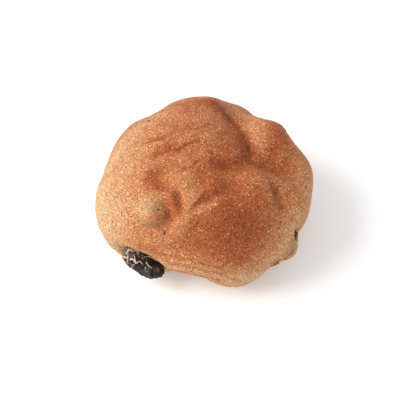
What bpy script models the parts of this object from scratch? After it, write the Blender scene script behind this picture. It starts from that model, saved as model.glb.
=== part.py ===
"""A small round bread roll with raisins, standing on its flat foot.

The roll is one solid whose surface is told by how far it lies from a hub inside the roll in
every direction: a squashed ball, raised by lobes and lowered by valleys.  Each raisin is its
own solid and sits in a pocket of the roll.  Sizes are in millimetres and turned into metres
when a mesh is made.
"""

import math

import bmesh
import bpy
import numpy as np

METRES_PER_MM = 0.001

# The roll before its lobes: a squashed ball around a hub above the foot.
HUB_HEIGHT = 14.0
HALF_WIDTH = 37.2
HALF_DEPTH = 34.8
RISE_ABOVE_HUB = 27.0
DROP_BELOW_HUB = 19.5
BALL_POWER = 2.25
FOOT_ROUNDING = 0.8
FOOT_TRIM = 0.2
ROLL_CELLS = 24

# Beads to a breadth along a lobe's line, the smallest downward slope a ray is given, the
# exponent past which the foot's rounding no longer shows, and how far wrinkles twist.
BEADS_PER_BREADTH = 2
LEAST_SLOPE = 1e-6
EXPONENT_LIMIT = 40
WRINKLE_TWIST = 2

# Every lobe (height above 0) and hollow (below 0) of the roll: the stops of the line it
# follows, each as azimuth and altitude in degrees seen from the hub, its breadth in degrees
# and its height in millimetres.
ROLL_FORMS = {
    "crown": ([(150, 75)], 26, 1.6),
    "front dome": ([(297, 28)], 22, 2.4),
    "front corner": ([(292, -14)], 10, 0.9),
    "left of front corner": ([(277, 2), (284, -3)], 5, -0.9),
    "left haunch": ([(200, 4)], 22, 1.0),
    "left slope": ([(166, 12)], 14, -1.8),
    "back left shoulder": ([(140, 24)], 10, 0.7),
    "back swell": ([(95, 16)], 26, 2.6),
    "right shoulder": ([(78, 36)], 12, 1.2),
    "back right lobe": ([(29, 41)], 12, 3.6),
    "back right rim": ([(72, 20), (60, 18)], 8, 1.5),
    "back right lobe's far side": ([(31, 31)], 9, 1.0),
    "back right lobe's near side": ([(13, 41)], 6, -0.7),
    "right lobe": ([(8, 16)], 14, 2.2),
    "lower right lobe": ([(338, 20)], 10, 2.8),
    "bulge over side raisin": ([(325, -3)], 8, 2.0),
    "centre bump": ([(325, 52), (330, 43)], 9, 2.5),
    "bump over hidden raisin": ([(231, 37)], 7, 1.7),
    "long ridge": ([(240, 63), (253, 56), (260, 48), (256, 40), (247, 31)], 5.5, 1.3),
    "valley": ([(72, 28), (55, 45), (28, 51), (3, 54), (355, 49), (357, 40), (356, 31)], 9, -3.8),
    "crown's flank": ([(78, 44), (60, 60), (10, 68)], 9, -1.6),
    "valley branch": ([(348, 58), (337, 64), (325, 71), (312, 76)], 5.5, -2.9),
    "right arm": ([(0, 45), (358, 36), (354, 29)], 5, -1.5),
    "hollow left of bump": ([(306, 59)], 6.5, -1.5),
    "right crease": ([(341, 43), (333, 35), (328, 29)], 3.5, -2.6),
    "side hollow": ([(204, 56), (222, 56)], 6, -1.4),
    "crown hollow": ([(116, 50), (136, 67)], 7, -0.9),
    "ring under bump": ([(227, 45), (237, 45), (244, 41), (243, 34), (236, 29), (228, 28)], 3.2, -1.6),
    "back left notch": ([(124, 22)], 10, -1.5),
    "back right notch": ([(52, 22)], 9, -1.6),
    "right notch": ([(338, -6)], 6, -2.2),
    "tuck above front raisin": ([(232, -12), (248, -10), (266, -8)], 13, -5.8),
    "front raisin seat": ([(219, -3), (228, 0), (241, -3)], 8, -6.0),
    "front raisin's left end": ([(218, -5)], 5, -2.6),
    "brow of front raisin": ([(233, 8), (245, 6)], 7, -1.6),
    "tuck at front foot": ([(250, -24), (274, -20)], 13, -5.6),
    "tuck behind front raisin": ([(263, -3), (274, -8)], 7, -1.5),
    "cradle under front raisin": ([(226, -18), (238, -17)], 8, 2.6),
    "waist above side raisin": ([(340, 4), (333, 3)], 6, -3.0),
    "tuck under flake": ([(318, -13), (310, -9)], 6, -2.6),
}

# The raisins: ovals with lengthwise wrinkles, long axis along their own X before turning.
RAISIN_CELLS = 6
RAISIN_GAP = 0.3
FRONT_RAISIN = {
    "centre": (-20.8, -25.4, 9.7),
    "half_sizes": (8.2, 3.8, 3.8),
    "turn": -35.0,
    "tilt": 0.0,
    "wrinkles": 6,
    "wrinkle_depth": 0.35,
}
SIDE_RAISIN = {
    "centre": (28.7, -20.85, 16.9),
    "half_sizes": (4.7, 2.3, 2.7),
    "turn": 67.0,
    "tilt": 57.0,
    "wrinkles": 5,
    "wrinkle_depth": 0.25,
}

CRUST_COLOUR = (0.50, 0.21, 0.085, 1.0)
RAISIN_COLOUR = (0.018, 0.010, 0.012, 1.0)
CRUST_ROUGHNESS = 0.75
RAISIN_ROUGHNESS = 0.45


def clear_scene():
    """Remove whatever objects the scene starts with."""
    for thing in list(bpy.data.objects):
        bpy.data.objects.remove(thing, do_unlink=True)


def make_material(name, colour, roughness):
    """Return a plain non-metallic surface of one colour."""
    material = bpy.data.materials.new(name)
    material.use_nodes = True
    surface = material.node_tree.nodes["Principled BSDF"]
    surface.inputs["Base Color"].default_value = colour
    surface.inputs["Roughness"].default_value = roughness
    surface.inputs["Metallic"].default_value = 0.0
    material.diffuse_color = colour
    return material


def direction(azimuth, altitude):
    """Return the unit vector at an azimuth from +X and an altitude, both in degrees."""
    turn, lift = math.radians(azimuth), math.radians(altitude)
    return np.array([math.cos(lift) * math.cos(turn), math.cos(lift) * math.sin(turn), math.sin(lift)])


def ball_grid(cells):
    """Return unit vectors over a cube blown up to a ball, and the quads that join them."""
    steps = np.tan(np.linspace(-math.pi / 4, math.pi / 4, cells + 1))
    a, b = np.meshgrid(steps, steps, indexing="ij")
    one = np.ones_like(a)
    sides = [(one, a, b), (-one, -a, b), (-a, one, b), (a, -one, b), (-b, a, one), (b, a, -one)]
    rays = np.concatenate([np.stack(side, axis=-1).reshape(-1, 3) for side in sides])
    rays /= np.linalg.norm(rays, axis=1, keepdims=True)
    corner = np.arange((cells + 1) ** 2).reshape(cells + 1, cells + 1)
    square = np.stack([corner[:-1, :-1], corner[1:, :-1], corner[1:, 1:], corner[:-1, 1:]], axis=-1)
    quads = np.concatenate([square.reshape(-1, 4) + k * corner.size for k in range(len(sides))])
    _, first, merged = np.unique(rays.round(6), axis=0, return_index=True, return_inverse=True)
    return rays[first], merged.reshape(-1)[quads]


def string_of_beads(stops, breadth):
    """Return unit vectors strung along a smooth curve through the stops, and each one's weight.

    The weights make the summed bell curves of the beads reach 1 along the curve.
    """
    knots = np.array([direction(*stop) for stop in stops])
    if len(knots) == 1:
        return knots, np.ones(1)
    ends = np.vstack([2 * knots[0] - knots[1], knots, 2 * knots[-1] - knots[-2]])
    beads = []
    for before, start, end, after in zip(ends, ends[1:], ends[2:], ends[3:]):
        count = max(2, int(BEADS_PER_BREADTH * math.degrees(np.linalg.norm(end - start)) / breadth) + 1)
        t = (np.arange(count) / count)[:, None]
        straight = start + 0.5 * (end - before) * t
        bend = (before - 2.5 * start + 2 * end - 0.5 * after) * t ** 2
        twist = 0.5 * (3 * start - before - 3 * end + after) * t ** 3
        beads.append(straight + bend + twist)
    beads = np.vstack(beads + [knots[-1:]])
    beads /= np.linalg.norm(beads, axis=1, keepdims=True)
    step = np.degrees(np.linalg.norm(np.diff(beads, axis=0), axis=1))
    weight = np.zeros(len(beads))
    weight[:-1] += step / 2
    weight[1:] += step / 2
    return beads, weight / (breadth * math.sqrt(math.pi))


def roll_reach(rays):
    """Return how far the roll's surface lies from the hub along each ray, in millimetres."""
    across = np.hypot(rays[:, 0] / HALF_WIDTH, rays[:, 1] / HALF_DEPTH)
    upright = np.abs(rays[:, 2]) / np.where(rays[:, 2] > 0, RISE_ABOVE_HUB, DROP_BELOW_HUB)
    reach = (across ** BALL_POWER + upright ** BALL_POWER) ** (-1 / BALL_POWER)
    for stops, breadth, height in ROLL_FORMS.values():
        for bead, weight in zip(*string_of_beads(stops, breadth)):
            chord_squared = 2 - 2 * (rays @ bead)
            reach += height * weight * np.exp(-chord_squared / math.radians(breadth) ** 2)
    to_floor = HUB_HEIGHT / np.maximum(-rays[:, 2], LEAST_SLOPE)
    room = np.clip((to_floor - reach) / FOOT_ROUNDING, -EXPONENT_LIMIT, EXPONENT_LIMIT)
    return np.minimum(reach - FOOT_ROUNDING * np.log1p(np.exp(-room)), to_floor)


def raisin_points(rays, raisin, growth):
    """Return the points of a wrinkled oval, grown outwards by a gap, in millimetres."""
    half = np.array(raisin["half_sizes"])
    reach = 1 / np.linalg.norm(rays / half, axis=1)
    round_angle = np.arctan2(rays[:, 2], rays[:, 1])
    fade = 1 - rays[:, 0] ** 2
    waves = np.cos(raisin["wrinkles"] * round_angle + WRINKLE_TWIST * rays[:, 0])
    reach += raisin["wrinkle_depth"] * fade * waves
    points = rays * (reach + growth)[:, None]
    tilt, turn = math.radians(raisin["tilt"]), math.radians(raisin["turn"])
    rock = np.array([[math.cos(tilt), 0, -math.sin(tilt)], [0, 1, 0], [math.sin(tilt), 0, math.cos(tilt)]])
    spin = np.array([[math.cos(turn), -math.sin(turn), 0], [math.sin(turn), math.cos(turn), 0], [0, 0, 1]])
    return points @ (spin @ rock).T + np.array(raisin["centre"])


def add_mesh_object(name, points, faces, material):
    """Add a smooth-shaded mesh object from points in millimetres."""
    mesh = bpy.data.meshes.new(name)
    mesh.from_pydata((points * METRES_PER_MM).tolist(), [], faces.tolist())
    mesh.materials.append(material)
    thing = bpy.data.objects.new(name, mesh)
    bpy.context.scene.collection.objects.link(thing)
    mesh.polygons.foreach_set("use_smooth", [True] * len(mesh.polygons))
    mesh.update()
    return thing


def trim_foot(thing):
    """Cut the rounded underside off flat just above the floor, close it, and set it down."""
    work = bmesh.new()
    work.from_mesh(thing.data)
    level = FOOT_TRIM * METRES_PER_MM
    everything = work.verts[:] + work.edges[:] + work.faces[:]
    cut = bmesh.ops.bisect_plane(
        work, geom=everything, plane_co=(0, 0, level), plane_no=(0, 0, 1), clear_inner=True
    )
    rim = [item for item in cut["geom_cut"] if isinstance(item, bmesh.types.BMEdge)]
    bmesh.ops.edgeloop_fill(work, edges=rim)
    for vertex in work.verts:
        vertex.co.z -= level
    bmesh.ops.recalc_face_normals(work, faces=work.faces[:])
    work.to_mesh(thing.data)
    work.free()


def build_roll(material):
    """Build the roll, centred on the origin, with its foot on the floor."""
    rays, quads = ball_grid(ROLL_CELLS)
    points = rays * roll_reach(rays)[:, None] + np.array([0, 0, HUB_HEIGHT])
    middle = (points.min(axis=0) + points.max(axis=0)) / 2
    points[:, :2] -= middle[:2]
    roll = add_mesh_object("bread", points, quads, material)
    trim_foot(roll)
    return roll


def cut_pocket(roll, name, raisin, material):
    """Cut the room for one raisin, a gap wider than the raisin, out of the roll."""
    rays, quads = ball_grid(RAISIN_CELLS)
    cutter = add_mesh_object(name, raisin_points(rays, raisin, RAISIN_GAP), quads, material)
    cutter.hide_render = True
    cutter.display_type = "WIRE"
    pocket = roll.modifiers.new(name, "BOOLEAN")
    pocket.operation = "DIFFERENCE"
    pocket.solver = "EXACT"
    pocket.object = cutter


def build_raisin(name, raisin, material):
    """Build one wrinkled raisin."""
    rays, quads = ball_grid(RAISIN_CELLS)
    return add_mesh_object(name, raisin_points(rays, raisin, 0.0), quads, material)


def main():
    """Build the roll and its raisins."""
    clear_scene()
    crust = make_material("crust", CRUST_COLOUR, CRUST_ROUGHNESS)
    skin = make_material("raisin skin", RAISIN_COLOUR, RAISIN_ROUGHNESS)
    roll = build_roll(crust)
    cut_pocket(roll, "front pocket", FRONT_RAISIN, crust)
    cut_pocket(roll, "side pocket", SIDE_RAISIN, crust)
    build_raisin("raisin_front", FRONT_RAISIN, skin)
    build_raisin("raisin_side", SIDE_RAISIN, skin)


main()
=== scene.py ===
"""The looks of a small raisin bread roll: its browned crust, its raisins, and the table it stands on.

Laid out as an add-on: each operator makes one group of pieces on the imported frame.  Shapes are
worked out in millimetres, seen from a hub inside the roll, and turned into metres at the end.
"""

import math

import bpy
import numpy as np
from bpy.props import FloatProperty, FloatVectorProperty, IntProperty, PointerProperty
from bpy.types import Operator, Panel, PropertyGroup
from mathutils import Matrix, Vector


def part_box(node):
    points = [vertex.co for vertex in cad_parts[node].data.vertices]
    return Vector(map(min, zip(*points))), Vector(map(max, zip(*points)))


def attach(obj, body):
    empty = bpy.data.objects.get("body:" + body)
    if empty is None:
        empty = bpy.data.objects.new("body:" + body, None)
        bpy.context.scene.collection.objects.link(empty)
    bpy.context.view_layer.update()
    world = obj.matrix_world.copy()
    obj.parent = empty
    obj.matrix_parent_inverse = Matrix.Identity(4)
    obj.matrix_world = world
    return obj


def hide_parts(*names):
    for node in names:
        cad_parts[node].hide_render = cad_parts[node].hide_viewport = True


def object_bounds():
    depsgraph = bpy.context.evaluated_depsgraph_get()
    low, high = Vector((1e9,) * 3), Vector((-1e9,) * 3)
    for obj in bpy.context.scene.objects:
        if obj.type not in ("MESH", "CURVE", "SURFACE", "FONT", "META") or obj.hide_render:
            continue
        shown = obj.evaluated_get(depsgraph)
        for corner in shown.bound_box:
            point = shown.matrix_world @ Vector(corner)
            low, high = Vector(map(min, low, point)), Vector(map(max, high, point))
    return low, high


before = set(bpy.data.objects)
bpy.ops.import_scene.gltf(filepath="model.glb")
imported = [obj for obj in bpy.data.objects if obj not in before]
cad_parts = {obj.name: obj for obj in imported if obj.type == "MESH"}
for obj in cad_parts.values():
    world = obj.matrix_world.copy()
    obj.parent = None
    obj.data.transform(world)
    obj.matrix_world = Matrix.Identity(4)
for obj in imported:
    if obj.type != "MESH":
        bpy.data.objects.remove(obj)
CAD_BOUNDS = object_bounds()

bl_info = {
    "name": "Raisin Bread Roll",
    "version": (1, 0, 0),
    "blender": (4, 5, 0),
    "location": "View3D > Sidebar > Bread Roll",
    "description": "Builds a browned bread roll with raisins on its CAD frame",
    "category": "Add Mesh",
}

MM = 0.001

# The smallest downward slope a ray is given, the exponent past which a rounding no longer
# shows, and a distance in millimetres that stands for never.
LEAST_SLOPE = 1e-6
EXPONENT_LIMIT = 40
FAR_AWAY = 1e3

# How the crust meets the raisins, in millimetres: how far it stands off the front one, the
# skin left over the side one, and how deep a rent in that skin goes.
CRUST_STAND_OFF = 0.1
SKIN_OVER_RAISIN = 0.45
RENT_DEPTH = 3.0
PORE_DEPTH = 0.5

# The plain ball of dough, in millimetres: half sizes around a hub above the foot.
HUB_HEIGHT = 14.0
HALF_WIDTH = 37.2
HALF_DEPTH = 34.8
RISE_ABOVE_HUB = 27.0
DROP_BELOW_HUB = 19.5
BALL_POWER = 2.25
FOOT_ROUNDING = 0.8
FOOT_TRIM = 0.2

# Lines over the crust. Each has its stops as (azimuth, altitude) in degrees seen from the hub,
# its breadth in degrees, and a height: millimetres here, a share of a look further down.
DOUGH_FORMS = {
    "crown": ([(150, 75)], 26, 1.6),
    "front dome": ([(297, 28)], 22, 2.4),
    "front corner": ([(292, -14)], 10, 0.9),
    "left of front corner": ([(277, 2), (284, -3)], 5, -0.9),
    "left haunch": ([(200, 4)], 22, 1.0),
    "left slope": ([(166, 12)], 14, -1.8),
    "back left shoulder": ([(140, 24)], 10, 0.7),
    "back swell": ([(95, 16)], 26, 2.6),
    "right shoulder": ([(78, 36)], 12, 1.2),
    "back right lobe": ([(29, 41)], 12, 3.6),
    "back right rim": ([(72, 20), (60, 18)], 8, 1.5),
    "back right lobe's far side": ([(31, 31)], 9, 1.0),
    "back right lobe's near side": ([(13, 41)], 6, -0.7),
    "right lobe": ([(8, 16)], 14, 2.2),
    "lower right lobe": ([(338, 20)], 10, 2.8),
    "bulge over side raisin": ([(325, -3)], 8, 2.0),
    "centre bump": ([(325, 52), (330, 43)], 9, 2.5),
    "bump over hidden raisin": ([(231, 37)], 7, 1.7),
    "long ridge": ([(240, 63), (253, 56), (260, 48), (256, 40), (247, 31)], 5.5, 1.3),
    "valley": ([(72, 28), (55, 45), (28, 51), (3, 54), (355, 49), (357, 40), (356, 31)], 9, -3.8),
    "crown's flank": ([(78, 44), (60, 60), (10, 68)], 9, -1.6),
    "valley branch": ([(348, 58), (337, 64), (325, 71), (312, 76)], 5.5, -2.9),
    "right arm": ([(0, 45), (358, 36), (354, 29)], 5, -1.5),
    "hollow left of bump": ([(306, 59)], 6.5, -1.5),
    "right crease": ([(341, 43), (333, 35), (328, 29)], 3.5, -2.6),
    "side hollow": ([(204, 56), (222, 56)], 6, -1.4),
    "crown hollow": ([(116, 50), (136, 67)], 7, -0.9),
    "ring under bump": ([(227, 45), (237, 45), (244, 41), (243, 34), (236, 29), (228, 28)], 3.2, -1.6),
    "back left notch": ([(124, 22)], 10, -1.5),
    "back right notch": ([(52, 22)], 9, -1.6),
    "right notch": ([(338, -6)], 6, -2.2),
    "tuck above front raisin": ([(232, -12), (248, -10), (266, -8)], 13, -5.8),
    "front raisin seat": ([(219, -3), (228, 0), (241, -3)], 8, -6.0),
    "front raisin's left end": ([(218, -5)], 5, -2.6),
    "brow of front raisin": ([(233, 8), (245, 6)], 7, -1.6),
    "tuck at front foot": ([(250, -24), (274, -20)], 13, -5.6),
    "tuck behind front raisin": ([(263, -3), (274, -8)], 7, -1.5),
    "cradle under front raisin": ([(226, -18), (238, -17)], 8, 2.6),
    "waist above side raisin": ([(340, 4), (333, 3)], 6, -3.0),
    "tuck under flake": ([(318, -13), (310, -9)], 6, -2.6),
}
FINE_FORMS = {
    "crown crack": ([(184, 72), (179, 75), (166, 78), (139, 82), (105, 83)], 1.2, -0.75),
    "crown furrow": ([(187, 56), (180, 61), (176, 67), (174, 71)], 3.2, -0.65),
    "crown furrow lip": ([(160, 72), (142, 76), (112, 77), (90, 73)], 2.0, 0.5),
    "crown's far line": ([(104, 73), (88, 70), (76, 64)], 1.2, -0.35),
    "upper furrow": ([(165, 49), (162, 54), (155, 63)], 2.0, -0.55),
    "middle scratch": ([(228, 67), (240, 75), (258, 80)], 1.2, -0.35),
    "fold crack": ([(260, 46), (265, 52), (275, 58)], 1.0, -0.3),
    "fold crack's lip": ([(258, 48), (263, 54), (272, 60)], 1.2, 0.35),
    "low fold crack": ([(264, 47), (270, 51), (279, 56)], 1.0, -0.3),
    "front dome's rim": ([(272, 47), (281, 51), (292, 53)], 1.6, 0.35),
    "hollow's edge": ([(218, 50), (231, 53)], 1.6, -0.4),
    "bump's corner": ([(238, 52), (245, 52)], 1.5, -0.5),
    "side line": ([(204, 36), (200, 45)], 1.6, -0.3),
    "valley seam": ([(70, 39), (58, 46), (38, 51), (22, 53), (8, 52)], 2.4, -0.7),
    "crown flank's foot": ([(61, 46), (40, 57), (18, 58)], 3.0, 0.5),
    "lobe's shoulder": ([(54, 33), (45, 38)], 4.0, 0.9),
    "hidden raisin's dome": ([(232, 38)], 4.0, 0.5),
    "fold": ([(263, 44), (275, 48), (292, 50)], 3.6, 1.0),
    "fold groove": ([(264, 51), (279, 54), (296, 56)], 2.6, -0.35),
    "bump groove": ([(238, 55), (246, 51), (249, 44)], 2.8, -0.9),
    "front stretch line": ([(246, 17), (256, 18), (266, 17), (278, 13), (288, 7)], 1.3, -0.4),
    "low front stretch line": ([(250, 12), (262, 13), (274, 10), (284, 4), (290, -2)], 1.2, -0.5),
    "low stretch line": ([(250, 6), (265, 5), (282, -2)], 1.6, -0.35),
    "lower stretch line": ([(262, -2), (275, -5), (288, -10)], 1.4, -0.35),
    "lowest stretch line": ([(268, -10), (280, -14), (292, -18)], 1.4, -0.3),
}

# Pores: small pits in the crust, also painted near black inside as painted shade.
PORES = {
    "back pore": ([(137, 39)], 1.2, 1.0),
    "crown pore": ([(332, 83)], 1.0, 0.9),
    "little crown pore": ([(209, 80)], 0.9, 0.6),
    "plum pore": ([(244, 30)], 1.4, 1.0),
    "bump pore": ([(234, 41)], 1.0, 0.9),
    "left pore": ([(210, 17)], 0.9, 0.8),
    "right pore": ([(352, 20)], 1.0, 0.8),
    "side raisin's dark edge": ([(323.5, 2.3), (321.5, 0.5), (319.5, -0.8)], 0.9, 0.8),
}

# Painted highlights: pale spots painted where grains of sugar glint.
PAINTED_SUGAR_GLINTS = {
    "painted glint on the fold": ([(276, 48)], 0.6, 0.9),
    "larger painted glint": ([(281, 50)], 0.7, 0.9),
}

# How far the crust is browned away from its plain baked colour, with painted shade in some valleys, hollows and
# shaded flanks and painted highlights on some lit rims and sides; and where a raisin tints it from below.
BROWNING_AND_PAINTED_LIGHT = {
    "front dome": ([(292, 38)], 16, 0.66),
    "low front dome": ([(262, 32)], 12, 0.22),
    "centre": ([(284, 72)], 15, 0.34),
    "upper middle": ([(182, 70)], 10, 0.14),
    "upper left": ([(165, 44)], 9, -0.08),
    "crown": ([(120, 64)], 10, 0.11),
    # Partly browning, partly painted shade: the valley, its arm and its foot are darkened for the shade deep in
    # them.
    "valley": ([(84, 40), (66, 44), (50, 55), (25, 59), (4, 58), (345, 61)], 5.5, 0.58),
    "valley arm": ([(354, 52), (359, 40), (355, 31)], 6, 0.30),
    "valley foot": ([(345, 60), (333, 67), (322, 73)], 6, 0.32),
    "right crease": ([(338, 40), (331, 33)], 4, 0.2),
    "fold's far side": ([(242, 56), (248, 50)], 5, -0.2),
    "crown rim": ([(103, 47), (93, 43), (81, 38)], 7, 0.26),
    # Painted shade: the crown's right flank faces away from the light and is darkened for it.
    "crown right flank": ([(48, 64), (0, 68)], 8, 0.24),
    "back right lobe": ([(44, 39), (40, 45), (31, 48), (20, 48), (11, 46)], 3.4, -0.21),
    "back right lobe's cap": ([(33, 40), (24, 38), (16, 34)], 4.5, 0.32),
    "back right lobe's near side": ([(14, 42)], 6, 0.28),
    "back right lobe's left foot": ([(14, 49), (8, 48)], 4, 0.16),
    "crown furrow": ([(188, 53), (185, 63), (178, 73)], 3.5, 0.14),
    # Painted shade: the side hollow is darkened for the shade that falls in it.
    "side hollow": ([(204, 50), (211, 49), (217, 52), (227, 54)], 5.5, 0.44),
    "left side": ([(190, 35)], 30, -0.28),
    "left haunch": ([(198, 8)], 18, -0.34),
    "right edge": ([(352, 18)], 12, -0.17),
    "right foot": ([(312, 14)], 12, -0.12),
    # Painted highlight: the fold is paler where it catches the light.
    "fold": ([(262, 44), (271, 47)], 4, -0.16),
    "front rim": ([(247, 11), (260, 12), (272, 10), (284, 4), (292, -2), (304, 0)], 6, -0.17),
    "fold's shade": ([(272, 55), (284, 59), (300, 59)], 4, 0.26),
    # Painted highlight: the front dome's rim is paler where it catches the light.
    "front dome's rim": ([(273, 47.5), (281, 51), (291, 53)], 2.0, -0.2),
    "pale spot": ([(257, 56)], 6, -0.2),
    "bump over hidden raisin": ([(223, 40)], 6, -0.17),
    "outer ring": ([(238, 53), (246, 48), (250, 43)], 3, 0.30),
    "ring under bump": ([(227, 45), (237, 45), (244, 41), (243, 34), (236, 29)], 3.5, 0.20),
    "bump's brown side": ([(243, 41), (244, 37)], 2.6, 0.4),
    "bump's middle": ([(236, 37)], 4, 0.2),
    # Painted shade: darkened for the shade left of the crown crack.
    "hollow left of crown crack": ([(208, 64), (203, 58), (205, 47)], 4.5, 0.34),
    "upper left shoulder": ([(161, 53)], 5, 0.12),
    "crown's left shoulder": ([(134, 67)], 5, 0.1),
    "crown's right shoulder": ([(7, 76)], 8, 0.08),
    "back left rim": ([(116, 47), (134, 42), (145, 36), (155, 32), (166, 30), (178, 22)], 6, -0.25),
    "edge above side raisin": ([(337, 20), (331, 19), (325, 15)], 5, -0.4),
    "low dome's right side": ([(273, 31), (277, 26), (285, 18), (298, 17)], 6, 0.22),
    "shade beside front raisin": ([(246, 16), (239, 18), (228, 15)], 3.5, 0.26),
    "centre bump's flank": ([(330, 51), (322, 46), (310, 39)], 5, 0.16),
    "right shoulder": ([(4, 36), (353, 29)], 5, 0.18),
    "centre hollow": ([(308, 57)], 4.5, 0.2),
    # Painted highlight: the long ridge is paler on its lit side.
    "ridge's light side": ([(227, 72), (251, 62), (266, 55)], 4.5, -0.14),
    "bump's left side": ([(222, 34)], 4.5, -0.16),
    "bump's far side": ([(228, 47)], 4, -0.14),
    "bump's right foot": ([(256, 40), (249, 33)], 4.5, -0.16),
    "valley's near bank": ([(12, 58)], 4, -0.12),
    "centre bump's cap": ([(309, 49)], 4, -0.1),
    "low front band": ([(257, 18), (267, 17)], 4, -0.14),
}
RAISIN_TINT = {
    "hidden raisin's top": ([(225, 43), (231, 42), (237, 40)], 3.0, 0.9),
    "hidden raisin": ([(224, 38), (232, 37)], 4, 0.3),
    "hidden raisin's foot": ([(228, 30), (233, 31), (239, 33), (243, 37)], 2.6, 1.0),
    "side raisin": ([(328, 9), (325, 4), (321, -1)], 4.5, 1.2),
    "smudge": ([(219, 3)], 2.5, 0.5),
}

# Rents in the skin over the side raisin, and a ragged flake beside it.
RENTS = {
    "upper rent": ([(329.5, 13), (328, 10), (327, 6.5)], 1.6, 1.1),
    "lower rent": ([(324, 2.5), (322, 0.5), (320, -1)], 0.9, 0.95),
}
FLAKE = {
    "flake": ([(308, 2.5), (311, 1), (314, 0.5)], 1.4, 1.0),
    "flake end": ([(318, -0.5)], 1.2, 0.6),
}

# Sugary lines on a raisin, and its painted plum sheen: the same kind of list, seen from the raisin's own middle.
SUGAR_LINES = {
    "raisin_front": {
        "upper web": ([(192, 24), (185, 30), (179, 39), (168, 50), (171, 63)], 2.5, 1.0),
        "upper twig": ([(180, 39), (176, 28)], 2.2, 0.8),
        "left edge": ([(197, 8), (199, 12), (208, 20), (217, 15), (214, 8)], 2.2, 0.9),
        "left twig": ([(192, 24), (208, 29), (208, 20)], 2.2, 0.7),
        "diagonal": ([(201, 46), (224, 51), (256, 47)], 2.4, 1.1),
        "long line": ([(221, 28), (233, 44), (256, 47), (271, 60), (293, 57), (309, 48)], 2.6, 1.2),
        "drop": ([(249, 23), (252, 32)], 3.0, 0.9),
        "upper right line": ([(303, 79), (15, 80), (32, 63), (21, 49), (17, 34)], 2.8, 0.9),
        "right line": ([(342, 52), (342, 40), (343, 29)], 2.8, 0.9),
        "short line": ([(321, 41), (322, 31)], 2.4, 0.7),
        "low dots": ([(325, 17), (332, 15)], 2.6, 0.6),
    },
    "raisin_side": {},
}
# Painted sheen where a raisin catches the light.
RAISIN_PAINTED_SHEEN = {
    "raisin_front": {"upper end": ([(184, 16)], 11, 1.0), "patch": ([(355, 17)], 5, 0.7)},
    "raisin_side": {},
}
PITS = {"pit": ([(284, 50)], 4, -0.9)}

# The raisins: half sizes in millimetres, and the turn of the long axis in degrees.
RAISINS = {
    "raisin_front": {"half": (8.2, 3.8, 3.8), "turn": -35.0, "tilt": 0.0, "seed": 3},
    "raisin_side": {"half": (4.7, 2.3, 2.7), "turn": 67.0, "tilt": 57.0, "seed": 8},
}


class CrustSettings(PropertyGroup):
    """Sizes and colours of the crust."""

    cells: IntProperty(
        name="Grid cells", default=129, min=16, max=129,
        description="Cells along each edge of the cube that is blown up into the crust")
    ripple_depth: FloatProperty(
        name="Ripple depth", default=0.00004, unit="LENGTH",
        description="Height of the soft ripples a few millimetres long")
    grain_depth: FloatProperty(
        name="Grain depth", default=0.00004, unit="LENGTH",
        description="Height of the sandy grain about a millimetre long")
    pale: FloatVectorProperty(
        name="Pale crust", subtype="COLOR", size=3, default=(0.545, 0.372, 0.206), min=0, max=1,
        description="Colour of the crust where it has hardly browned")
    golden: FloatVectorProperty(
        name="Golden crust", subtype="COLOR", size=3, default=(0.46, 0.209, 0.091), min=0, max=1,
        description="Colour of the crust where it has browned lightly")
    brown: FloatVectorProperty(
        name="Brown crust", subtype="COLOR", size=3, default=(0.34, 0.103, 0.033), min=0, max=1,
        description="Colour of the well browned crust")
    dark: FloatVectorProperty(
        name="Dark crust", subtype="COLOR", size=3, default=(0.235, 0.062, 0.020), min=0, max=1,
        description="Colour of the darkest crust")
    roughness: FloatProperty(
        name="Roughness", default=0.62, min=0, max=1, subtype="FACTOR",
        description="Roughness of the crust's plain skin")


class RaisinSettings(PropertyGroup):
    """Sizes and colours of the raisins."""

    cells: IntProperty(
        name="Grid cells", default=72, min=16, max=120,
        description="Cells along each edge of the cube that is blown up into a raisin")
    wrinkle_depth: FloatProperty(
        name="Wrinkle depth", default=0.0006, unit="LENGTH",
        description="Height of the ridges between the wrinkles")
    skin: FloatVectorProperty(
        name="Skin", subtype="COLOR", size=3, default=(0.012, 0.006, 0.007), min=0, max=1,
        description="Colour of the skin in the wrinkles")
    ridge: FloatVectorProperty(
        name="Ridge", subtype="COLOR", size=3, default=(0.66, 0.52, 0.36), min=0, max=1,
        description="Colour of the sugary ridges")


class StageSettings(PropertyGroup):
    """The table, the light and the camera."""

    floor_size: FloatProperty(
        name="Floor size", default=3.0, unit="LENGTH", description="Side of the square floor")
    key_strength: FloatProperty(
        name="Key strength", default=2.8, min=0, description="Strength of the soft light from the left")
    fill_strength: FloatProperty(
        name="Fill strength", default=0.82, min=0, description="Strength of the light from all round")
    lens: FloatProperty(
        name="Lens", default=100.0, unit="NONE", description="Focal length in millimetres")
    elevation: FloatProperty(
        name="Elevation", default=math.radians(55), subtype="ANGLE",
        description="How far the camera looks down")


class Wire:
    """A node's output socket; arithmetic on it adds Math nodes to its tree."""

    def __init__(self, board, socket):
        self.board, self.socket = board, socket

    def math(self, operation, a, b=0.0):
        """Return a sum worked out by a Math node."""
        return self.board.add("ShaderNodeMath", {"operation": operation}, {0: a, 1: b})

    def __add__(self, other):
        return self.math("ADD", self, other)

    def __sub__(self, other):
        return self.math("SUBTRACT", self, other)

    def __rsub__(self, other):
        return self.math("SUBTRACT", other, self)

    def __mul__(self, other):
        return self.math("MULTIPLY", self, other)

    def __gt__(self, other):
        return self.math("GREATER_THAN", self, other)

    __radd__, __rmul__ = __add__, __mul__

    def ramp(self, low, high):
        """Return 0 below low, 1 above high and a smooth step between."""
        return self.board.add(
            "ShaderNodeMapRange", {"interpolation_type": "SMOOTHSTEP", "clamp": True},
            {"Value": self, "From Min": low, "From Max": high})


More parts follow.
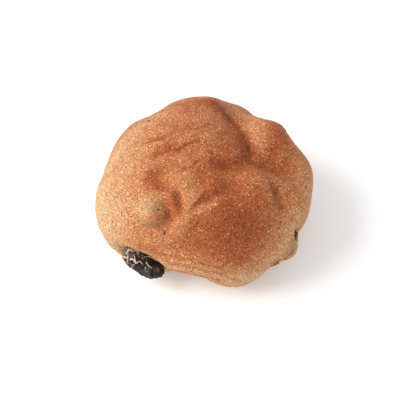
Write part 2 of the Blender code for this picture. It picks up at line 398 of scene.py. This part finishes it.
class Board:
    """A material's node tree, and short ways to add to it."""

    def __init__(self, name, roughness):
        self.material = bpy.data.materials.new(name)
        self.material.use_nodes = True
        self.tree = self.material.node_tree
        self.surface = self.tree.nodes["Principled BSDF"]
        self.surface.inputs["Roughness"].default_value = roughness

    def add(self, kind, settings, sockets, output=0):
        """Add a node, set its settings, then fill or link its sockets; return one output."""
        node = self.tree.nodes.new(kind)
        for name, value in settings.items():
            setattr(node, name, value)
        for name, value in sockets.items():
            self.fill(node.inputs[name], value)
        return Wire(self, node.outputs[output])

    def fill(self, socket, value):
        """Link a wire into a socket, or set the socket's own value."""
        if isinstance(value, Wire):
            self.tree.links.new(value.socket, socket)
        else:
            socket.default_value = value

    def colour(self, value):
        """Return a colour with its fourth number, which is always 1."""
        return (*value, 1.0)

    def blend(self, factor, a, b):
        """Return colour a turned into colour b by a factor."""
        return self.add(
            "ShaderNodeMix", {"data_type": "RGBA", "clamp_factor": True}, {0: factor, 6: a, 7: b}, 2)

    def stops(self, value, stops):
        """Return the colour that a value picks from stops of (value, colour)."""
        low, high = stops[0][0], stops[-1][0]
        ramp = self.add("ShaderNodeValToRGB", {}, {0: (value - low) * (1 / (high - low))})
        ends = ramp.socket.node.color_ramp.elements
        for _ in stops[2:]:
            ends.new(0.5)
        for end, (where, colour) in zip(ends, stops):
            end.position, end.color = (where - low) / (high - low), self.colour(colour)
        return ramp

    def tint(self, colour, by):
        """Return a colour times another."""
        return self.add(
            "ShaderNodeMix", {"data_type": "RGBA", "blend_type": "MULTIPLY", "clamp_result": False},
            {0: 1.0, 6: colour, 7: by}, 2)

    def place(self, stretch=(1, 1, 1)):
        """Return the point on the object, stretched along its axes."""
        where = self.add("ShaderNodeTexCoord", {}, {}, "Object")
        return self.add("ShaderNodeMapping", {}, {"Vector": where, "Scale": stretch})

    def noise(self, where, size, detail=2.0, roughness=0.5, output=0):
        """Return noise from 0 to 1 whose lumps are about a size in metres."""
        return self.add(
            "ShaderNodeTexNoise", {}, {"Vector": where, "Scale": 1 / size, "Detail": detail,
                                       "Roughness": roughness}, output)

    def cells(self, where, size, output):
        """Return the distance to the nearest of scattered points, or that point's own colour."""
        return self.add("ShaderNodeTexVoronoi", {}, {"Vector": where, "Scale": 1 / size}, output)

    def part(self, colour, name):
        """Return one channel of a colour."""
        return self.add("ShaderNodeSeparateColor", {}, {"Color": colour}, name)

    def measure(self, name):
        """Return a number stored at the points of the mesh."""
        return self.add("ShaderNodeAttribute", {"attribute_name": name}, {}, "Fac")

    def finish(self, colour, roughness, height, depth):
        """Link the look into the surface: colour, roughness, and a bump of a height."""
        bump = self.add("ShaderNodeBump", {}, {"Height": height, "Distance": depth, "Strength": 1.0})
        self.fill(self.surface.inputs["Base Color"], colour)
        self.fill(self.surface.inputs["Roughness"], roughness)
        self.fill(self.surface.inputs["Normal"], bump)
        return self.material


def direction(azimuth, altitude):
    """Unit vector at an azimuth from +X and an altitude, both in degrees."""
    turn, lift = math.radians(azimuth), math.radians(altitude)
    return np.array([math.cos(lift) * math.cos(turn), math.cos(lift) * math.sin(turn), math.sin(lift)])


def ball_grid(cells):
    """Unit vectors over a cube blown up to a ball, and the quads that join them.

    On each side of the cube two parameters run from -45 to 45 degrees; a point is the unit
    vector through their tangents on that side.  Points shared by two sides are merged.
    """
    steps = np.tan(np.linspace(-math.pi / 4, math.pi / 4, cells + 1))
    a, b = np.meshgrid(steps, steps, indexing="ij")
    one = np.ones_like(a)
    sides = [(one, a, b), (-one, -a, b), (-a, one, b), (a, -one, b), (-b, a, one), (b, a, -one)]
    rays = np.concatenate([np.stack(side, axis=-1).reshape(-1, 3) for side in sides])
    rays /= np.linalg.norm(rays, axis=1, keepdims=True)
    corner = np.arange((cells + 1) ** 2).reshape(cells + 1, cells + 1)
    square = np.stack([corner[:-1, :-1], corner[1:, :-1], corner[1:, 1:], corner[:-1, 1:]], axis=-1)
    quads = np.concatenate([square.reshape(-1, 4) + k * corner.size for k in range(len(sides))])
    _, first, merged = np.unique(rays.round(6), axis=0, return_index=True, return_inverse=True)
    return rays[first], merged.reshape(-1)[quads]


def string_of_beads(stops, breadth):
    """Unit vectors strung along a smooth curve through the stops, and each one's weight.

    The curve is a cubic through each pair of stops whose slopes are half the gap between their
    neighbours.  The weights make the summed bell curves of the beads reach 1 along the curve.
    """
    knots = np.array([direction(*stop) for stop in stops])
    if len(knots) == 1:
        return knots, np.ones(1)
    ends = np.vstack([2 * knots[0] - knots[1], knots, 2 * knots[-1] - knots[-2]])
    beads = []
    for before, start, end, after in zip(ends, ends[1:], ends[2:], ends[3:]):
        count = max(2, int(2 * math.degrees(np.linalg.norm(end - start)) / breadth) + 1)
        t = (np.arange(count) / count)[:, None]
        straight = start + 0.5 * (end - before) * t
        bend = (before - 2.5 * start + 2 * end - 0.5 * after) * t ** 2
        twist = 0.5 * (3 * start - before - 3 * end + after) * t ** 3
        beads.append(straight + bend + twist)
    beads = np.vstack(beads + [knots[-1:]])
    beads /= np.linalg.norm(beads, axis=1, keepdims=True)
    step = np.degrees(np.linalg.norm(np.diff(beads, axis=0), axis=1))
    weight = np.zeros(len(beads))
    weight[:-1] += step / 2
    weight[1:] += step / 2
    return beads, weight / (breadth * math.sqrt(math.pi))


def summed(rays, lines):
    """Sum, over all lines, of height times a bell curve of the angle away from the line."""
    total = np.zeros(len(rays))
    for stops, breadth, height in lines.values():
        for bead, weight in zip(*string_of_beads(stops, breadth)):
            chord_squared = 2 - 2 * (rays @ bead)
            total += height * weight * np.exp(-chord_squared / math.radians(breadth) ** 2)
    return total


def waves(points, length, seed, stretch=(1, 1, 1), count=60):
    """Soft noise of spread 1: the sum of plane waves of about one length in random directions."""
    chance = np.random.default_rng(seed)
    ways = chance.normal(size=(count, 3))
    ways /= np.linalg.norm(ways, axis=1, keepdims=True)
    ways *= 2 * math.pi / (length * chance.uniform(0.75, 1.35, size=(count, 1)))
    phases = chance.uniform(0, 2 * math.pi, count)
    total = np.zeros(len(points))
    for way, phase in zip(ways / np.array(stretch), phases):
        total += np.cos(points @ way + phase)
    return total * math.sqrt(2 / count)


def chance_lines(seed, count, length, breadth, height):
    """Short curved lines strewn over the back, which runs from one side round to the other."""
    chance = np.random.default_rng(seed)
    lines = {}
    for k in range(count):
        azimuth, altitude = chance.uniform(20, 150), chance.uniform(-12, 15)
        along, up, bow = length * chance.uniform((0.4, -0.25, -0.1), (1.0, 0.25, 0.1))
        middle = (azimuth + along / 2, altitude + up / 2 + bow)
        stops = [(azimuth, altitude), middle, (azimuth + along, altitude + up)]
        size = chance.uniform((0.7, 0.5), (1.3, 1.2)) * (breadth, height)
        lines["chance line %d" % k] = (stops, *size)
    return lines


def smooth_step(values, low, high):
    """0 below low, 1 above high, and a smooth step between."""
    t = np.clip((values - low) / (high - low), 0, 1)
    return t * t * (3 - 2 * t)


def softly_least(a, b, blend):
    """The lesser of two arrays, rounded off where they are about a blend apart."""
    room = np.clip((b - a) / blend, -EXPONENT_LIMIT, EXPONENT_LIMIT)
    return np.minimum(a - blend * np.log1p(np.exp(-room)), b)


def plain_reach(rays):
    """Distance from the hub to the dough's surface, in millimetres.

    A squashed ball, raised and lowered by the dough's forms.
    """
    across = np.hypot(rays[:, 0] / HALF_WIDTH, rays[:, 1] / HALF_DEPTH)
    upright = np.abs(rays[:, 2]) / np.where(rays[:, 2] > 0, RISE_ABOVE_HUB, DROP_BELOW_HUB)
    reach = (across ** BALL_POWER + upright ** BALL_POWER) ** (-1 / BALL_POWER)
    return reach + summed(rays, DOUGH_FORMS)


def to_floor(rays):
    """Distance from the hub to the floor along each ray, in millimetres."""
    return HUB_HEIGHT / np.maximum(-rays[:, 2], LEAST_SLOPE)


def turned(raisin):
    """Matrix from a raisin's own axes to the roll's: tilted about Y, then turned about Z."""
    tilt, turn = math.radians(raisin["tilt"]), math.radians(raisin["turn"])
    rock = np.array([[math.cos(tilt), 0, -math.sin(tilt)], [0, 1, 0], [math.sin(tilt), 0, math.cos(tilt)]])
    spin = np.array([[math.cos(turn), -math.sin(turn), 0], [math.sin(turn), math.cos(turn), 0], [0, 0, 1]])
    return spin @ rock


def middle_of(node):
    """Centre of a CAD node's box, in millimetres."""
    low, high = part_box(node)
    return (np.array(low) + np.array(high)) / 2 / MM


def raisin_hits(rays, hub, node, growth):
    """Distances from the hub to the near and far sides of a raisin's oval.

    On a miss the near side is far away and the far side is at the hub.
    """
    raisin = RAISINS[node]
    half = np.array(raisin["half"]) + growth
    start = (hub - middle_of(node)) @ turned(raisin) / half
    way = rays @ turned(raisin) / half
    a, b, c = (way ** 2).sum(axis=1), way @ start, start @ start - 1
    inside = np.where(b < 0, b * b - a * c, 0)
    root = np.sqrt(np.maximum(inside, 0))
    return np.where(inside > 0, (-b - root) / a, FAR_AWAY), np.where(inside > 0, (-b + root) / a, 0)


def mesh_piece(name, points, faces, material):
    """Add a smooth-shaded mesh object from points in millimetres, riding on the root body."""
    mesh = bpy.data.meshes.new(name)
    mesh.from_pydata((points * MM).tolist(), [], faces.tolist())
    mesh.materials.append(material)
    mesh.polygons.foreach_set("use_smooth", np.ones(len(mesh.polygons), bool))
    mesh.update()
    thing = bpy.data.objects.new(name, mesh)
    bpy.context.scene.collection.objects.link(thing)
    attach(thing, "root")
    return thing


def store(thing, name, values):
    """Keep one number at each point of a mesh."""
    kept = thing.data.attributes.new(name, "FLOAT", "POINT")
    kept.data.foreach_set("value", values.astype(np.float32))


def crust_material(look):
    """Baked crust: browned colour with painted shade and highlights from the mesh, mottled, with sandy grain,
    dark dots, pores painted dark as shade, and painted glints.
    """
    board = Board("baked_crust", look.roughness)
    board.fill(board.surface.inputs["Specular IOR Level"], 0.15)
    where = board.place()
    mottle = board.noise(where, 0.005, 3.0, 0.6)
    patch = board.noise(where, 0.0017, 2.0, 0.6)
    grain = board.noise(where, 0.0007, 2.0, 0.7)
    sand = board.noise(where, 0.00045, 1.0, 0.5)
    bake_and_painted_light = board.measure("browning_and_painted_light") + (mottle - 0.5) * 0.45 + (patch - 0.5) * 0.3 + (grain - 0.5) * 0.5
    colour = board.stops(bake_and_painted_light, ((0.0, look.pale), (0.4, look.golden), (0.8, look.brown), (1.2, look.dark)))
    hue = board.noise(board.place((1.0, 1.02, 0.98)), 0.0008, 2.0, 0.6)
    warm = board.blend(hue.ramp(0.3, 0.7), (1.07, 0.88, 0.80, 1), (0.96, 1.06, 0.98, 1))
    colour = board.tint(colour, warm)
    light = board.blend(sand.ramp(0.33, 0.67), (0.78, 0.62, 0.53, 1), (1.20, 1.24, 1.32, 1))
    colour = board.tint(colour, light)
    crumb = 1 - board.cells(where, 0.0006, "Distance").ramp(0.2, 0.55)
    pick = board.part(board.cells(where, 0.0006, "Color"), "Red")
    toasted = bake_and_painted_light.ramp(-0.2, 0.5) * 0.5 + 0.5
    colour = board.blend(crumb * (pick > 0.66) * toasted, colour, board.tint(colour, (1.6, 2.0, 2.5, 1)))
    colour = board.blend(crumb * (1 - (pick > 0.28)), colour, board.tint(colour, (0.56, 0.34, 0.27, 1)))
    tint = board.measure("tint") * board.noise(where, 0.0016, 3.0, 0.6).ramp(0.25, 0.7)
    colour = board.blend(tint * 0.7, colour, board.colour((0.29, 0.23, 0.11)))
    dots = 1 - board.cells(where, 0.0019, "Distance").ramp(0.06, 0.15)
    rare = board.part(board.cells(where, 0.0019, "Color"), "Red")
    colour = board.blend(dots * (rare > 0.6) * 0.6, colour, board.colour((0.13, 0.045, 0.02)))
    # Painted shade: the pores are painted near black.
    pore = board.measure("pore").ramp(0.3, 0.7)
    colour = board.blend(pore * 0.85, colour, board.colour((0.10, 0.028, 0.022)))
    freckles = 1 - board.cells(where, 0.0011, "Distance").ramp(0.12, 0.24)
    colour = board.blend(freckles * 0.4, colour, board.colour((0.36, 0.11, 0.045)))
    # Painted highlights: faint cream glints scattered over the crust.
    painted_faint_glints = 1 - board.cells(where, 0.0013, "Distance").ramp(0.10, 0.22)
    some = board.part(board.cells(where, 0.0013, "Color"), "Blue")
    colour = board.blend(painted_faint_glints * (some > 0.55) * 0.4, colour, board.colour((0.88, 0.62, 0.42)))
    glints = 1 - board.cells(where, 0.0017, "Distance").ramp(0.07, 0.15)
    lucky = board.part(board.cells(where, 0.0017, "Color"), "Green")
    glint = glints * (lucky > 0.68)
    colour = board.blend(glint * 0.65, colour, board.colour((0.95, 0.82, 0.64)))
    # Painted highlights: pale spots where a few grains of sugar glint.
    painted_sugar_glints = board.measure("sugar").ramp(0.3, 0.8)
    colour = board.blend(painted_sugar_glints * 0.6, colour, board.colour((0.95, 0.86, 0.76)))
    roughness = look.roughness + (grain - 0.5) * 0.3 - glint * 0.3
    height = grain * 0.6 + sand * 0.4 + patch * 0.5
    return board.finish(colour, roughness, height, 0.0005)


def raisin_material(look):
    """Raisin skin: near black in the wrinkles, with a painted grey sheen on the ridge tops, tan sugar on some
    ridges, and a faint painted plum sheen.
    """
    board = Board("raisin_skin", 0.4)
    board.fill(board.surface.inputs["Specular IOR Level"], 0.22)
    where = board.place()
    cloud = board.noise(where, 0.0032, 2.0, 0.6)
    fine = board.noise(where, 0.0005, 2.0, 0.6)
    ridge = board.measure("ridge")
    sugar = (board.measure("sugar") + (fine - 0.5) * 0.7).ramp(0.35, 0.65) * (fine.ramp(0.3, 0.6) * 0.4 + 0.6)
    warp = board.noise(where, 0.0015, 2.0, 0.5, "Color")
    bent = board.add(
        "ShaderNodeVectorMath", {"operation": "MULTIPLY_ADD"}, {0: warp, 1: (0.0012,) * 3, 2: where})
    crease = board.add(
        "ShaderNodeTexVoronoi", {"feature": "DISTANCE_TO_EDGE"}, {"Vector": bent, "Scale": 600.0}, "Distance")
    web = (1 - crease.ramp(0.03, 0.13)) * (cloud - board.measure("side") * 0.12).ramp(0.46, 0.62)
    # Painted sheen: the tops of the wrinkle ridges are painted lighter than the skin in the wrinkles.
    colour = board.blend((ridge * cloud).ramp(0.1, 0.7), board.colour(look.skin), (0.042, 0.024, 0.026, 1))
    # Painted sheen: a plum sheen painted where the raisin catches the light.
    painted_sheen = board.measure("painted_sheen") * (fine * 0.5 + 0.5)
    colour = board.blend(painted_sheen, colour, (0.27, 0.15, 0.14, 1))
    colour = board.blend(web * 0.6, colour, (0.36, 0.26, 0.18, 1))
    colour = board.blend(sugar, colour, board.colour(look.ridge))
    roughness = 0.42 + (fine - 0.5) * 0.3 + sugar * 0.3
    return board.finish(colour, roughness, fine, 0.00015)


class ROLL_OT_crust(Operator):
    """Shape and brown the roll's crust, with painted shade and highlights, dented where each raisin sits"""

    bl_idname = "bread_roll.crust"
    bl_label = "Add Crust"

    def execute(self, context):
        look = context.scene.bread_crust
        rays, quads = ball_grid(look.cells)
        smooth = plain_reach(rays)
        flat = softly_least(smooth, to_floor(rays), FOOT_ROUNDING)
        plain = rays * flat[:, None]
        shift = middle_of("bread") - (plain.min(axis=0) + plain.max(axis=0)) / 2
        hub = np.array([shift[0], shift[1], HUB_HEIGHT - FOOT_TRIM])
        fine = summed(rays, FINE_FORMS) + summed(rays, chance_lines(11, 11, 22, 1.8, -0.4))
        fine += summed(rays, chance_lines(12, 6, 26, 4.0, 0.5))
        pores = summed(rays, PORES) + summed(rays, chance_lines(13, 5, 0.5, 0.7, 1.0))
        where = rays * smooth[:, None]
        ripple = waves(where, 5.0, 1) + 0.6 * waves(where, 2.6, 2)
        grain = waves(where, 1.25, 3, count=90)
        reach = smooth + fine - PORE_DEPTH * pores + (ripple * look.ripple_depth + grain * look.grain_depth) / MM
        reach = softly_least(reach, raisin_hits(rays, hub, "raisin_front", CRUST_STAND_OFF)[0], 0.1)
        skin = raisin_hits(rays, hub, "raisin_side", SKIN_OVER_RAISIN)[1]
        reach = -softly_least(-reach, -skin, 0.25)
        rents = smooth_step(summed(rays, RENTS) + 0.06 * waves(where, 1.1, 4), 0.45, 0.75)
        flake = summed(rays, FLAKE) * (1 + 0.4 * waves(where, 1.3, 5))
        reach += flake - RENT_DEPTH * rents
        reach = softly_least(reach, to_floor(rays), FOOT_ROUNDING)
        points = rays * reach[:, None] + hub
        points[:, 2] = np.maximum(points[:, 2], 0)
        crust = mesh_piece("crust", points, quads, crust_material(look))
        height = points[:, 2]
        bake_and_painted_light = 0.12 + 0.44 * smooth_step(height, 4, 34) + summed(rays, BROWNING_AND_PAINTED_LIGHT)
        bake_and_painted_light += np.where(height <= 0, 0.35, 0) - 0.02 * ripple
        # Painted shade: darker in the fine grooves and cracks, and a little paler on raised fine lines.
        bake_and_painted_light -= 0.6 * np.minimum(fine, 0) + 0.12 * np.clip(fine, 0, 0.4)
        bake_and_painted_light += 0.5 * np.minimum(flake, 1)
        # The browning carries painted shade and painted highlights as well.
        store(crust, "browning_and_painted_light", bake_and_painted_light)
        store(crust, "tint", summed(rays, RAISIN_TINT))
        store(crust, "pore", np.clip(pores, 0, 1))
        # Painted highlights: the sugar glints.
        store(crust, "sugar", np.clip(summed(rays, PAINTED_SUGAR_GLINTS), 0, 1))
        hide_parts("bread")
        return {"FINISHED"}


class ROLL_OT_raisins(Operator):
    """Shape the wrinkled raisins"""

    bl_idname = "bread_roll.raisins"
    bl_label = "Add Raisins"

    def execute(self, context):
        look = context.scene.bread_raisins
        skin = raisin_material(look)
        rays, quads = ball_grid(look.cells)
        for node, raisin in RAISINS.items():
            half = np.array(raisin["half"])
            oval = rays / np.linalg.norm(rays / half, ord=2.4, axis=1, keepdims=True)
            seed = raisin["seed"]
            bend = np.stack([waves(oval, 4.0, seed + k) for k in range(3)], axis=1) * 0.5
            folds = waves(oval + bend, 3.4, seed + 10, stretch=(2.2, 1, 1))
            ridge = np.exp(-(folds / 0.42) ** 2)
            small = np.exp(-(waves(oval + bend, 1.9, seed + 20, stretch=(1.8, 1, 1)) / 0.4) ** 2)
            near = oval + 0.4 * bend
            near /= np.linalg.norm(near, axis=1, keepdims=True)
            sugar = summed(near, SUGAR_LINES[node])
            lift = (0.75 * ridge + 0.35 * small - 0.55) * look.wrinkle_depth / MM
            lift += 0.3 * np.minimum(sugar, 1) + summed(rays, PITS)
            points = oval * (1 + lift / np.linalg.norm(oval, axis=1))[:, None]
            piece = mesh_piece(node + "_skin", points @ turned(raisin).T + middle_of(node), quads, skin)
            store(piece, "ridge", ridge)
            store(piece, "sugar", sugar)
            store(piece, "side", rays[:, 0])
            # Painted sheen.
            store(piece, "painted_sheen", summed(near, RAISIN_PAINTED_SHEEN[node]))
            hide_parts(node)
        return {"FINISHED"}


class ROLL_OT_stage(Operator):
    """Lay the floor, light it softly from the left, and set up the camera"""

    bl_idname = "bread_roll.stage"
    bl_label = "Set Stage"

    def execute(self, context):
        scene, stage = context.scene, context.scene.bread_stage
        low, high = CAD_BOUNDS
        half = stage.floor_size / 2
        mesh = bpy.data.meshes.new("floor")
        corners = [(-half, -half, low.z), (half, -half, low.z), (half, half, low.z), (-half, half, low.z)]
        mesh.from_pydata(corners, [], [(0, 1, 2, 3)])
        board = Board("white_table", 0.9)
        board.fill(board.surface.inputs["Base Color"], (0.82, 0.82, 0.82, 1))
        board.fill(board.surface.inputs["Emission Color"], (1, 1, 1, 1))
        board.fill(board.surface.inputs["Emission Strength"], 0.16)
        mesh.materials.append(board.material)
        floor = bpy.data.objects.new("floor", mesh)
        scene.collection.objects.link(floor)

        key = bpy.data.lights.new("key", "SUN")
        key.energy, key.angle = stage.key_strength, math.radians(38)
        lamp = bpy.data.objects.new("key", key)
        scene.collection.objects.link(lamp)
        self.aim(lamp, (-0.80, -0.06, 0.66), (0, 0, 0), 1.0)

        world = bpy.data.worlds.new("studio")
        world.use_nodes = True
        world.node_tree.nodes["Background"].inputs["Color"].default_value = (1, 1, 1, 1)
        world.node_tree.nodes["Background"].inputs["Strength"].default_value = stage.fill_strength
        scene.world = world
        scene.view_settings.view_transform = "Standard"

        lens = bpy.data.cameras.new("camera")
        lens.lens, lens.sensor_width = stage.lens, 36.0
        camera = bpy.data.objects.new("camera", lens)
        scene.collection.objects.link(camera)
        width = high.x - low.x
        back = (0, -math.cos(stage.elevation), math.sin(stage.elevation))
        self.aim(camera, back, (-0.019 * width, -0.040 * width, 0.196 * width), 5.12 * width)
        scene.camera = camera
        return {"FINISHED"}

    def aim(self, thing, back, target, distance):
        """Stand a camera or lamp a distance back from a target, looking at it."""
        back = np.array(back) / np.linalg.norm(back)
        thing.location = np.array(target) + back * distance
        thing.rotation_euler = Vector(back).to_track_quat("Z", "Y").to_euler()


class ROLL_PT_panel(Panel):
    """Lists the roll's operators"""

    bl_label = "Bread Roll"
    bl_space_type = "VIEW_3D"
    bl_region_type = "UI"
    bl_category = "Bread Roll"

    def draw(self, context):
        for operator in OPERATORS:
            self.layout.operator(operator.bl_idname)


OPERATORS = (ROLL_OT_crust, ROLL_OT_raisins, ROLL_OT_stage)
CLASSES = (CrustSettings, RaisinSettings, StageSettings, *OPERATORS, ROLL_PT_panel)


def register():
    """Register the classes and hang their settings on the scene."""
    for kind in CLASSES:
        bpy.utils.register_class(kind)
    bpy.types.Scene.bread_crust = PointerProperty(type=CrustSettings)
    bpy.types.Scene.bread_raisins = PointerProperty(type=RaisinSettings)
    bpy.types.Scene.bread_stage = PointerProperty(type=StageSettings)


def unregister():
    """Undo what register did."""
    for name in ("bread_crust", "bread_raisins", "bread_stage"):
        delattr(bpy.types.Scene, name)
    for kind in reversed(CLASSES):
        bpy.utils.unregister_class(kind)


def main():
    """Register the add-on, then build the whole look."""
    register()
    for make in (bpy.ops.bread_roll.crust, bpy.ops.bread_roll.raisins, bpy.ops.bread_roll.stage):
        make()


if __name__ == "__main__":
    main()
